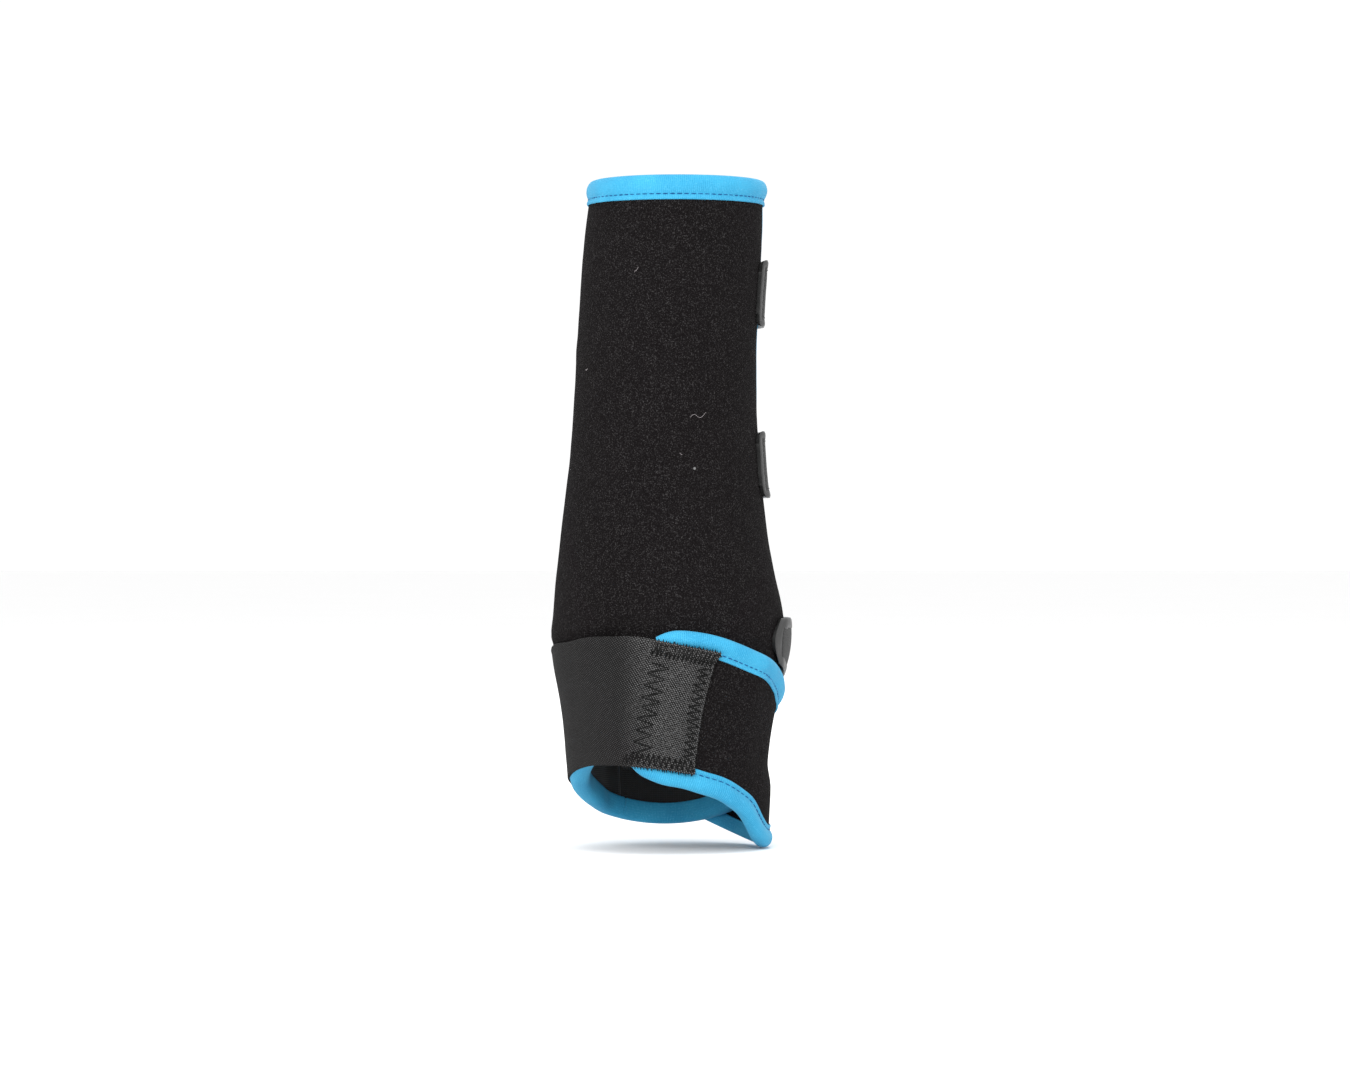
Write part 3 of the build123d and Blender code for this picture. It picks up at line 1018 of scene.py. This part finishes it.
def tabStitches(side, tab, spotAt, hinge):
    # one row round the sewn base, inside the raised margin
    length = math.radians(tabShape["end"] - tab["start"]) * tabShape["girth"]
    inset = tab["margin"] + tabSeam["inside"]
    tall = tab["high"] - tab["low"]
    edge, far = inset / tall, (hinge - tabSeam["stopShort"]) / length
    left = inset / length
    route = [(far, edge), (left, edge), (left, 1 - edge), (far, 1 - edge), (far, edge)]
    spots = []
    for (u1, v1), (u2, v2) in zip(route, route[1:]):
        run = math.hypot((u2 - u1) * length, (v2 - v1) * tall)
        count = max(1, round(run / tabSeam["pitch"]))
        for i in range(count):
            ends = []
            for part in tabSeam["thread"]:
                share = (i + part) / count
                u, v = u1 + (u2 - u1) * share, v1 + (v2 - v1) * share
                angle, height, along = spotAt(u, v)[:3]
                lift = tabShape["outer"] + tabSeam["lift"] + seated(along)
                ends.append(wallPoint(angle, height, lift))
            spots.append(ends)
    row = stitchRow(f"{side}TabStitches", spots, tabSeam["radius"], "paleThread")
    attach(row, "front_flap")


# hook tape under the free ends: angles, clearance over the wall and thickness
hooks = {
    "strap": {"start": 134.0, "end": 157.0, "clearance": 0.30, "thickness": 1.0, "inset": 3.0},
    "tab": {"start": 31.5, "end": 55.5, "clearance": 0.72, "thickness": 1.1, "inset": 3.2},
}
hookCloth = {"girth": 50, "cells": 16, "edgeRadius": 0.2}


def hookPatch(name, shape, edgesAt, body, node):
    def place(u, v):
        angle = shape["start"] + (shape["end"] - shape["start"]) * u
        low, high = edgesAt(angle)
        height = low + shape["inset"] + (high - low - 2 * shape["inset"]) * v
        lift = shape["clearance"] + shape["thickness"]
        spot = math.radians(angle) * hookCloth["girth"] * mm, height * mm
        return wallPoint(angle, height, lift), spot

    patch = wrap(name, hookCloth["cells"], hookCloth["cells"], place, "hook")
    thicken(patch, shape["thickness"])
    roundEdges(patch, hookCloth["edgeRadius"])
    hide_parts(node)
    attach(patch, body)


def hookPatches():
    for side, tab in tabs.items():
        hookPatch(f"{side}TabHook", hooks["tab"], lambda angle, tab=tab: tabEdges(tab, angle),
                  f"{side}_tab", f"{side}_tab_hook")
    hookPatch("strapHook", hooks["strap"],
              lambda angle: (planeHeight(angle, strap["bottom"]), planeHeight(angle, strap["top"])),
              "sling_strap", "strap_hook")


# fluff caught on the pile: place, length and how far each curl bends
fluff = [
    {"angle": -69.0, "height": 193.0, "length": 8.5, "bend": 1.6, "lean": 0.15},
    {"angle": -112.0, "height": 257.5, "length": 2.6, "bend": 0.7, "lean": 0.9},
    {"angle": -80.0, "height": 176.0, "length": 1.6, "bend": 0.3, "lean": -0.5},
    {"angle": -150.0, "height": 214.0, "length": 1.8, "bend": 0.4, "lean": 0.4},
    {"angle": 60.0, "height": 206.0, "length": 3.4, "bend": 0.8, "lean": 0.2},
]
# a curl's steps, its sideways and outward waves, and its thickness
curlShape = {
    "steps": 12, "girth": 46, "wave": 7.5, "flatten": 0.6, "lift": 0.25, "loop": 11,
    "radius": 0.11,
}


def caughtFluff():
    spots = []
    for curl in fluff:
        points = []
        for i in range(curlShape["steps"] + 1):
            t = i / curlShape["steps"]
            along = curl["length"] * (t - 0.5)
            wave = curl["bend"] * math.sin(t * curlShape["wave"]) * curlShape["flatten"]
            turn = math.degrees(along * math.cos(curl["lean"])) / curlShape["girth"]
            height = curl["height"] + along * math.sin(curl["lean"]) + wave
            lift = curlShape["lift"] * (1 + math.sin(t * curlShape["loop"]))
            points.append(wallPoint(curl["angle"] + turn, height, lift))
        spots.extend(zip(points, points[1:]))
    piece = stitchRow("caughtFluff", spots, curlShape["radius"], "fluff")
    overFlap(piece)


bootWall()
caughtFluff()
wrappedSling()
slingStrap()
for side, tab in tabs.items():
    closingTab(side, tab)
hookPatches()
print("tabs and hook patches done")


# studio
studio = {
    "distance": 2.2, "across": 0.0018, "height": 0.138, "lens": 130.0,
    "floorGap": 0.0004, "floorSize": 40.0, "sky": 1.04,
}
lights = [
    {"name": "frontBox", "at": (-0.4, -2.7, 1.3), "size": 1.3, "power": 52},
    {"name": "leftBox", "at": (-2.3, -0.9, 0.9), "size": 1.5, "power": 7},
    {"name": "rightBox", "at": (2.3, -0.8, 0.9), "size": 1.5, "power": 7},
    {"name": "topBox", "at": (0.0, -0.5, 2.4), "size": 1.4, "power": 22},
    {"name": "backBox", "at": (0.4, 2.4, 1.4), "size": 1.6, "power": 14},
]


def floorPaint():
    paint = Paint("studioFloor", Roughness=0.9)
    speckle = paint.noise(paint.place, 3, 2)
    paint.set(Base_Color=paint.mix(speckle, grey(0.93), grey(0.95)))
    return paint.material


def buildStudio():
    finish["floor"] = floorPaint()
    lowest = min(cadBox[0][2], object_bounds()[0][2]) - studio["floorGap"]
    mesh = bmesh.new()
    bmesh.ops.create_grid(mesh, x_segments=4, y_segments=4, size=studio["floorSize"] / 2,
                          matrix=Matrix.Translation((0, 0, lowest)))
    addPiece("studioFloor", mesh, "floor")
    centre = Vector((studio["across"], 0, studio["height"]))
    for light in lights:
        lamp = bpy.data.lights.new(light["name"], "AREA")
        lamp.size = light["size"]
        lamp.energy = light["power"]
        holder = bpy.data.objects.new(light["name"], lamp)
        holder.location = light["at"]
        holder.rotation_euler = (Vector(light["at"]) - centre).to_track_quat("Z", "Y").to_euler()
        bpy.context.scene.collection.objects.link(holder)
    world = bpy.data.worlds.new("studio")
    world.use_nodes = True
    world.node_tree.nodes["Background"].inputs["Color"].default_value = (1, 1, 1, 1)
    world.node_tree.nodes["Background"].inputs["Strength"].default_value = studio["sky"]
    bpy.context.scene.world = world
    bpy.context.scene.view_settings.view_transform = "Standard"

    lens = bpy.data.cameras.new("camera")
    lens.lens = studio["lens"]
    camera = bpy.data.objects.new("camera", lens)
    camera.location = (studio["across"], -studio["distance"], studio["height"])
    camera.rotation_euler = (math.radians(90), 0, 0)
    bpy.context.scene.collection.objects.link(camera)
    bpy.context.scene.camera = camera


buildStudio()
print("studio lit")
